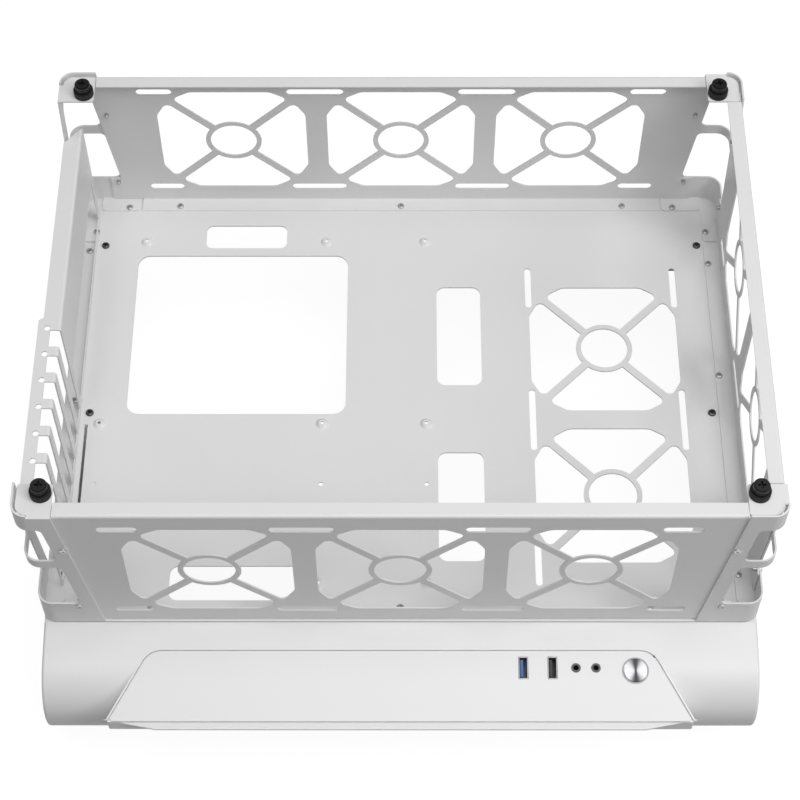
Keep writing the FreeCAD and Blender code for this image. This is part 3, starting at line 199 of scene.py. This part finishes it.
def plated_steel(name, base, rough, spread):
    finish, tree = new_finish(name)
    place = add(tree, "ShaderNodeTexCoord").outputs["Object"]
    cloud = add(tree, "ShaderNodeTexNoise", Vector=place, Scale=PLATING_PER_METRE, Detail=4.0)
    gloss = add(tree, "ShaderNodeMapRange", Value=cloud.outputs["Fac"], To_Min=rough - spread,
                To_Max=rough + spread)
    skin = add(tree, "ShaderNodeBsdfPrincipled", Base_Color=colour(base), Metallic=1.0,
               Roughness=gloss.outputs["Result"])
    close(tree, skin.outputs["BSDF"])
    return finish


# Zinc: pale grey that shows the shape of the small heads
zinc_steel = plated_steel("zinc_plated_steel", "#c6c6c8", 0.42, 0.08)
# Nickel: a thin grey rim round each port
nickel_steel = plated_steel("nickel_plated_steel", "#8e8e90", 0.3, 0.06)
# Black oxide: dark heads on the white tray
black_oxide = plated_steel("black_oxide_steel", "#626264", 0.36, 0.08)
# Satin metal: the grey line round the power button
ring_metal = plated_steel("satin_ring_metal", "#7c7c7e", 0.34, 0.05)
print("made the metals")

# %% [markdown]
# ## Spun aluminium
# The power button was faced on a lathe, so it carries fine rings round its centre and catches the light in
# two fans to its left and right. The grooves run round the button's axis: the cross product of the axis with
# the place on the cap gives their direction, and the distance from the axis gives their pitch. Real grooves
# are finer. They are drawn a third of a millimetre apart so that they show. The two fans are also a painted
# highlight: the colour is painted paler to both sides and darker above and below, since soft lamps alone
# leave them weak.

# %% Spun aluminium of the power button, with a painted highlight
GROOVE_PITCH = 0.00035
PANEL_SLOPE = math.radians(12.5)
ring_low, ring_high = (Vector(corner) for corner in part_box("button_ring"))
button_middle = (ring_low + ring_high) / 2
button_axis = (0.0, -math.sin(PANEL_SLOPE), math.cos(PANEL_SLOPE))
spun_aluminium, tree = new_finish("spun_aluminium")
place = add(tree, "ShaderNodeTexCoord").outputs["Object"]
arm = add(tree, "ShaderNodeVectorMath", {"operation": "SUBTRACT"}, _0=place, _1=button_middle)
around = add(tree, "ShaderNodeVectorMath", {"operation": "CROSS_PRODUCT"}, _0=button_axis, _1=arm.outputs[0])
groove_run = add(tree, "ShaderNodeVectorMath", {"operation": "NORMALIZE"}, _0=around.outputs[0])
distance = add(tree, "ShaderNodeVectorMath", {"operation": "LENGTH"}, _0=around.outputs[0])
turns = add(tree, "ShaderNodeMath", {"operation": "MULTIPLY"}, _0=distance.outputs["Value"],
            _1=2 * math.pi / GROOVE_PITCH)
rings = add(tree, "ShaderNodeMath", {"operation": "SINE"}, _0=turns.outputs[0])
gloss = add(tree, "ShaderNodeMapRange", Value=rings.outputs[0], From_Min=-1.0, To_Min=0.3, To_Max=0.4)
# Painted highlight: the colour is pale to the left and right of the centre and dark above and below it,
# standing in for the two fans of light
spoke = add(tree, "ShaderNodeVectorMath", {"operation": "NORMALIZE"}, _0=arm.outputs[0])
painted_highlight_side = add(tree, "ShaderNodeSeparateXYZ", Vector=spoke.outputs[0])
spread = add(tree, "ShaderNodeMath", {"operation": "ABSOLUTE"}, _0=painted_highlight_side.outputs["X"])
fan = add(tree, "ShaderNodeMapRange", {"interpolation_type": "SMOOTHSTEP"}, Value=spread.outputs[0],
          From_Min=0.08, From_Max=0.95)
tone = add(tree, "ShaderNodeMix", {"data_type": "RGBA"}, Factor=fan.outputs["Result"], _6=colour("#3c3c3e"),
           _7=colour("#b4b4b6"))
skin = add(tree, "ShaderNodeBsdfPrincipled", Base_Color=tone.outputs[2], Metallic=1.0, Anisotropic=0.85,
           Roughness=gloss.outputs["Result"], Tangent=groove_run.outputs[0])
close(tree, skin.outputs["BSDF"])
print("button axis at", [round(value, 4) for value in button_middle])

# %% [markdown]
# ## Finishes on the pieces
# Each piece keeps its own mesh and only swaps the finish in its material slots. The folded sheets, pins,
# feet, screws and shells are told by their names, and the pieces of the console are listed one by one.


# %% Give each piece its finish
def dress(name, finish):
    for slot in nodes[name].material_slots:
        slot.material = finish


FOLDED_SHEETS = ("front_fan", "back_fan", "side_fan", "corner_post", "motherboard", "io_slot", "base_skirt",
                 "tray_rail", "foot_rail")
SOFT_PIECES = ("pin_collar", "foot_front", "foot_back")
CONSOLE_PIECES = {
    "front_console": console_white,
    "io_panel": panel_white,
    "io_board": board_green,
    "usb3_tongue": blue_plastic,
    "usb2_tongue": black_plastic,
    "audio_jack_left": jack_grey,
    "audio_jack_right": jack_grey,
    "power_switch": black_plastic,
    "power_button": spun_aluminium,
    "button_ring": ring_metal,
}


def finish_of(name):
    if name in CONSOLE_PIECES:
        return CONSOLE_PIECES[name]
    if name.startswith(FOLDED_SHEETS):
        return steel_white
    if name.startswith(SOFT_PIECES):
        return black_rubber
    if name.startswith("pin_screw"):
        return pin_black
    if name.endswith("_shell"):
        return nickel_steel
    return black_oxide if name == "black_screws" else zinc_steel


for name in nodes:
    dress(name, finish_of(name))
print("dressed", len(nodes), "pieces")

# %% [markdown]
# ## Seats of the screws
# Small pan-head screws hold the brackets, the posts, the slot panel and the tray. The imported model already
# says where each one sits, so the seats are read from its loose parts. The longest side of a part is the
# screw's axis, and its widest points show at which end the head is.


# %% Find the seats
def loose_parts(item):
    """Vertices of each separate solid of a piece."""
    mesh = bmesh.new()
    mesh.from_mesh(item.data)
    bmesh.ops.remove_doubles(mesh, verts=mesh.verts, dist=1e-6)
    waiting = set(mesh.verts)
    parts = []
    while waiting:
        group = {waiting.pop()}
        border = list(group)
        while border:
            vert = border.pop()
            for edge in vert.link_edges:
                other = edge.other_vert(vert)
                if other in waiting:
                    waiting.remove(other)
                    group.add(other)
                    border.append(other)
        parts.append([vert.co.copy() for vert in group])
    mesh.free()
    return parts


def seats_of(item, head_height):
    """Seat and head direction of each upright or level screw of a group, in order of place."""
    seats = []
    for points in loose_parts(item):
        low = Vector([min(point[axis] for point in points) for axis in range(3)])
        high = Vector([max(point[axis] for point in points) for axis in range(3)])
        size = high - low
        axis = max(range(3), key=lambda index: size[index])
        middle = (low + high) / 2
        sides = [other for other in range(3) if other != axis]
        spans = [sum((point[side] - middle[side]) ** 2 for side in sides) for point in points]
        widest = max(spans)
        wide = [point[axis] for point, span in zip(points, spans) if span > widest * 0.9]
        facing = 1.0 if sum(wide) / len(wide) > middle[axis] else -1.0
        seat = middle.copy()
        seat[axis] = (high[axis] if facing > 0 else low[axis]) - facing * head_height
        direction = Vector((0.0, 0.0, 0.0))
        direction[axis] = facing
        seats.append((seat, direction))
    return sorted(seats, key=lambda entry: tuple(round(value, 5) for value in entry[0]))


FRAME_HEAD = (0.0024, 0.0013)
TRAY_HEAD = (0.0028, 0.0017)
zinc_seats = seats_of(nodes["frame_screws"], FRAME_HEAD[1])
black_seats = seats_of(nodes["black_screws"], TRAY_HEAD[1])
print("zinc screws", len(zinc_seats), "black screws", len(black_seats))

# %% [markdown]
# ## One screw
# The screws of a kind are all the same, so one is modelled well: a domed head turned on a lathe, with a cross
# recess that narrows downwards. The frame's screws are a little smaller than the tray's.


# %% Turn and carve a screw
SHANK_RADIUS = 0.0014
SHANK_LONG = 0.005
TIP_RADIUS = 0.0012
TIP_START = 0.0046


def lathe(profile, steps):
    """Closed mesh turned about Z from (radius, height) points, first and last on the axis."""
    mesh = bmesh.new()
    rows = []
    for radius, height in profile:
        if radius < 1e-9:
            rows.append([mesh.verts.new((0.0, 0.0, height))])
            continue
        rows.append([mesh.verts.new((radius * math.cos(turn), radius * math.sin(turn), height))
                     for turn in [2 * math.pi * step / steps for step in range(steps)]])
    for lower, upper in zip(rows, rows[1:]):
        for step in range(steps):
            following = (step + 1) % steps
            corners = [lower[step % len(lower)], lower[following % len(lower)],
                       upper[following % len(upper)], upper[step % len(upper)]]
            mesh.faces.new(list(dict.fromkeys(corners)))
    bmesh.ops.recalc_face_normals(mesh, faces=mesh.faces)
    return mesh


def cross_recess(reach, width, top, bottom):
    """The two bars of a cross that narrows from its top to its bottom."""
    solids = []
    for turn in (0.0, math.pi / 2):
        mesh = bmesh.new()
        bmesh.ops.create_cube(mesh, size=1.0)
        for vert in mesh.verts:
            share = 1.0 if vert.co.z > 0 else 0.45
            vert.co = Vector((vert.co.x * 2 * reach * share, vert.co.y * width * (0.6 + 0.4 * share),
                              top if vert.co.z > 0 else bottom))
        bmesh.ops.rotate(mesh, cent=(0, 0, 0), matrix=Matrix.Rotation(turn, 3, "Z"), verts=mesh.verts)
        solids.append(mesh)
    return solids


def as_object(name, mesh):
    data = bpy.data.meshes.new(name)
    mesh.to_mesh(data)
    mesh.free()
    return bpy.data.objects.new(name, data)


def carved(name, body, tools):
    """Body with the tools cut away, as a plain mesh object."""
    item = as_object(name, body)
    scene.collection.objects.link(item)
    cutters = [as_object(name + "_cutter", tool) for tool in tools]
    for cutter in cutters:
        scene.collection.objects.link(cutter)
        step = item.modifiers.new("carve", "BOOLEAN")
        step.operation = "DIFFERENCE"
        step.solver = "EXACT"
        step.object = cutter
    bpy.context.view_layer.update()
    result = bpy.data.meshes.new_from_object(item.evaluated_get(bpy.context.evaluated_depsgraph_get()))
    item.modifiers.clear()
    item.data = result
    for cutter in cutters:
        bpy.data.objects.remove(cutter)
    return item


def pan_head(name, radius, height):
    """Screw with a domed head and a cross recess, seat at the origin."""
    dome = [(1.0, 0.0), (1.0, 0.38), (0.97, 0.58), (0.87, 0.79), (0.68, 0.92), (0.4, 0.98), (0.0, 1.0)]
    profile = [(0.0, -SHANK_LONG), (TIP_RADIUS, -SHANK_LONG), (SHANK_RADIUS, -TIP_START), (SHANK_RADIUS, 0.0)]
    profile += [(radius * across, height * up) for across, up in dome]
    cross = cross_recess(radius * 0.6, radius * 0.3, height * 1.3, height * 0.3)
    return carved(name, lathe(profile, 28), cross)


frame_screw = pan_head("frame_screw", *FRAME_HEAD)
tray_screw = pan_head("tray_screw", *TRAY_HEAD)
print("one screw has", len(frame_screw.data.polygons), "faces")

# %% [markdown]
# ## Screws on their seats
# The tree below takes the seats as points with a direction each. It aligns a screw to the direction, spins it
# by a seeded random angle, as a hand with a screwdriver would leave it, and makes the copies real, so that
# they leave Blender as an ordinary mesh.


# %% Screws on their seats
def screw_tree():
    tree = bpy.data.node_groups.new("screws_on_seats", "GeometryNodeTree")
    tree.interface.new_socket("Seats", in_out="INPUT", socket_type="NodeSocketGeometry")
    tree.interface.new_socket("Screw", in_out="INPUT", socket_type="NodeSocketObject")
    tree.interface.new_socket("Seed", in_out="INPUT", socket_type="NodeSocketInt")
    tree.interface.new_socket("Finish", in_out="INPUT", socket_type="NodeSocketMaterial")
    tree.interface.new_socket("Screws", in_out="OUTPUT", socket_type="NodeSocketGeometry")
    given = add(tree, "NodeGroupInput").outputs
    facing = add(tree, "GeometryNodeInputNamedAttribute", {"data_type": "FLOAT_VECTOR"}, Name="facing")
    aligned = add(tree, "FunctionNodeAlignRotationToVector", {"axis": "Z"}, Vector=facing.outputs[0])
    angle = add(tree, "FunctionNodeRandomValue", {"data_type": "FLOAT"}, _2=0.0, _3=math.pi,
                Seed=given["Seed"])
    spin = add(tree, "FunctionNodeAxisAngleToRotation", Axis=(0, 0, 1), Angle=angle.outputs[1])
    turned = add(tree, "FunctionNodeRotateRotation", {"rotation_space": "LOCAL"}, Rotation=aligned.outputs[0],
                 Rotate_By=spin.outputs[0])
    shape = add(tree, "GeometryNodeObjectInfo", Object=given["Screw"])
    copies = add(tree, "GeometryNodeInstanceOnPoints", Points=given["Seats"],
                 Instance=shape.outputs["Geometry"], Rotation=turned.outputs[0])
    solid = add(tree, "GeometryNodeRealizeInstances", Geometry=copies.outputs[0])
    coated = add(tree, "GeometryNodeSetMaterial", Geometry=solid.outputs[0], Material=given["Finish"])
    add(tree, "NodeGroupOutput", Screws=coated.outputs[0])
    return tree


def run_tree(name, tree, data, values):
    """Evaluate a tree on a mesh and keep the result as a plain mesh object."""
    item = bpy.data.objects.new(name, data)
    scene.collection.objects.link(item)
    step = item.modifiers.new("make", "NODES")
    step.node_group = tree
    sockets = {entry.name: entry.identifier for entry in tree.interface.items_tree if entry.in_out == "INPUT"}
    for label, value in values.items():
        step[sockets[label]] = value
    bpy.context.view_layer.update()
    made = bpy.data.meshes.new_from_object(item.evaluated_get(bpy.context.evaluated_depsgraph_get()))
    item.modifiers.clear()
    item.data = made
    return item


def points_mesh(name, seats):
    data = bpy.data.meshes.new(name)
    data.from_pydata([seat for seat, direction in seats], [], [])
    facing = data.attributes.new("facing", "FLOAT_VECTOR", "POINT")
    for entry, (seat, direction) in zip(facing.data, seats):
        entry.vector = direction
    return data


seat_tree = screw_tree()
for name, seats, form, finish, seed, node in (
        ("zinc_screws", zinc_seats, frame_screw, zinc_steel, 3, "frame_screws"),
        ("oxide_screws", black_seats, tray_screw, black_oxide, 8, "black_screws")):
    group = run_tree(name, seat_tree, points_mesh(name + "_seats", seats),
                     {"Screw": form, "Seed": seed, "Finish": finish})
    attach(group, "case")
    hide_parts(node)
    bpy.data.objects.remove(form)
    print(name, len(group.data.polygons), "faces")

# %% [markdown]
# ## Floor
# The photograph is cut out on plain white. The floor shows white to the camera and in reflections, keeps a
# faint shadow under the case, and gives little light back, as a studio sweep far below would.

# %% Floor that is white to the camera
FLOOR_HALF = 4.0
FLOOR_GLOW = 0.93
PAPER_GREY = 0.14
DIM_GREY = 0.1
corners = [(-FLOOR_HALF, -FLOOR_HALF, 0), (FLOOR_HALF, -FLOOR_HALF, 0), (FLOOR_HALF, FLOOR_HALF, 0),
           (-FLOOR_HALF, FLOOR_HALF, 0)]
floor_mesh = bpy.data.meshes.new("studio_floor")
floor_mesh.from_pydata(corners, [], [(0, 1, 2, 3)])
floor = bpy.data.objects.new("studio_floor", floor_mesh)
scene.collection.objects.link(floor)
sweep, tree = new_finish("white_sweep")
path = add(tree, "ShaderNodeLightPath")
seen = add(tree, "ShaderNodeMath", {"operation": "MAXIMUM"}, _0=path.outputs["Is Camera Ray"],
           _1=path.outputs["Is Glossy Ray"])
seen = add(tree, "ShaderNodeMath", {"operation": "MAXIMUM"}, _0=seen.outputs[0],
           _1=path.outputs["Is Transmission Ray"])
glow = add(tree, "ShaderNodeEmission", Color=(1, 1, 1, 1), Strength=FLOOR_GLOW)
paper = add(tree, "ShaderNodeBsdfDiffuse", Color=(PAPER_GREY, PAPER_GREY, PAPER_GREY, 1))
lit = add(tree, "ShaderNodeAddShader", _0=glow.outputs[0], _1=paper.outputs[0])
dim = add(tree, "ShaderNodeBsdfDiffuse", Color=(DIM_GREY, DIM_GREY, DIM_GREY, 1))
both = add(tree, "ShaderNodeMixShader", Fac=seen.outputs[0], _1=dim.outputs[0], _2=lit.outputs[0])
close(tree, both.outputs[0])
floor_mesh.materials.append(sweep)
print("floor laid")

# %% [markdown]
# ## Lamps
# A broad lamp high above the front lights the tray and the console evenly. A smaller one at the right front
# makes the planes read. The world adds a weak light from all sides and is plain white to the camera alone.


# %% Lamps and surroundings
def lamp(name, spot, target, size, power):
    data = bpy.data.lights.new(name, "AREA")
    data.shape = "DISK"
    data.size = size
    data.energy = power
    item = bpy.data.objects.new(name, data)
    item.location = spot
    item.rotation_euler = (Vector(target) - Vector(spot)).to_track_quat("-Z", "Y").to_euler()
    scene.collection.objects.link(item)


WORLD_LIGHT = 0.24
lamp("key_lamp", (1.3, -0.7, 1.3), (0.0, -0.1, 0.12), 0.8, 9.0)
lamp("top_lamp", (0.35, -0.55, 2.9), (0.0, -0.05, 0.1), 2.6, 52.0)
world = bpy.data.worlds.new("studio")
scene.world = world
world.use_nodes = True
world.node_tree.nodes.clear()
path = add(world.node_tree, "ShaderNodeLightPath")
around_light = add(world.node_tree, "ShaderNodeBackground", Color=(1, 1, 1, 1), Strength=WORLD_LIGHT)
around_white = add(world.node_tree, "ShaderNodeBackground", Color=(1, 1, 1, 1), Strength=1.0)
mixed = add(world.node_tree, "ShaderNodeMixShader", Fac=path.outputs["Is Camera Ray"],
            _1=around_light.outputs[0], _2=around_white.outputs[0])
add(world.node_tree, "ShaderNodeOutputWorld", Surface=mixed.outputs[0])
scene.view_settings.view_transform = "Standard"
print("lamps set")

# %% [markdown]
# ## Size
# Nothing that was added may change the size of the case.

# %% Finish
print("done")
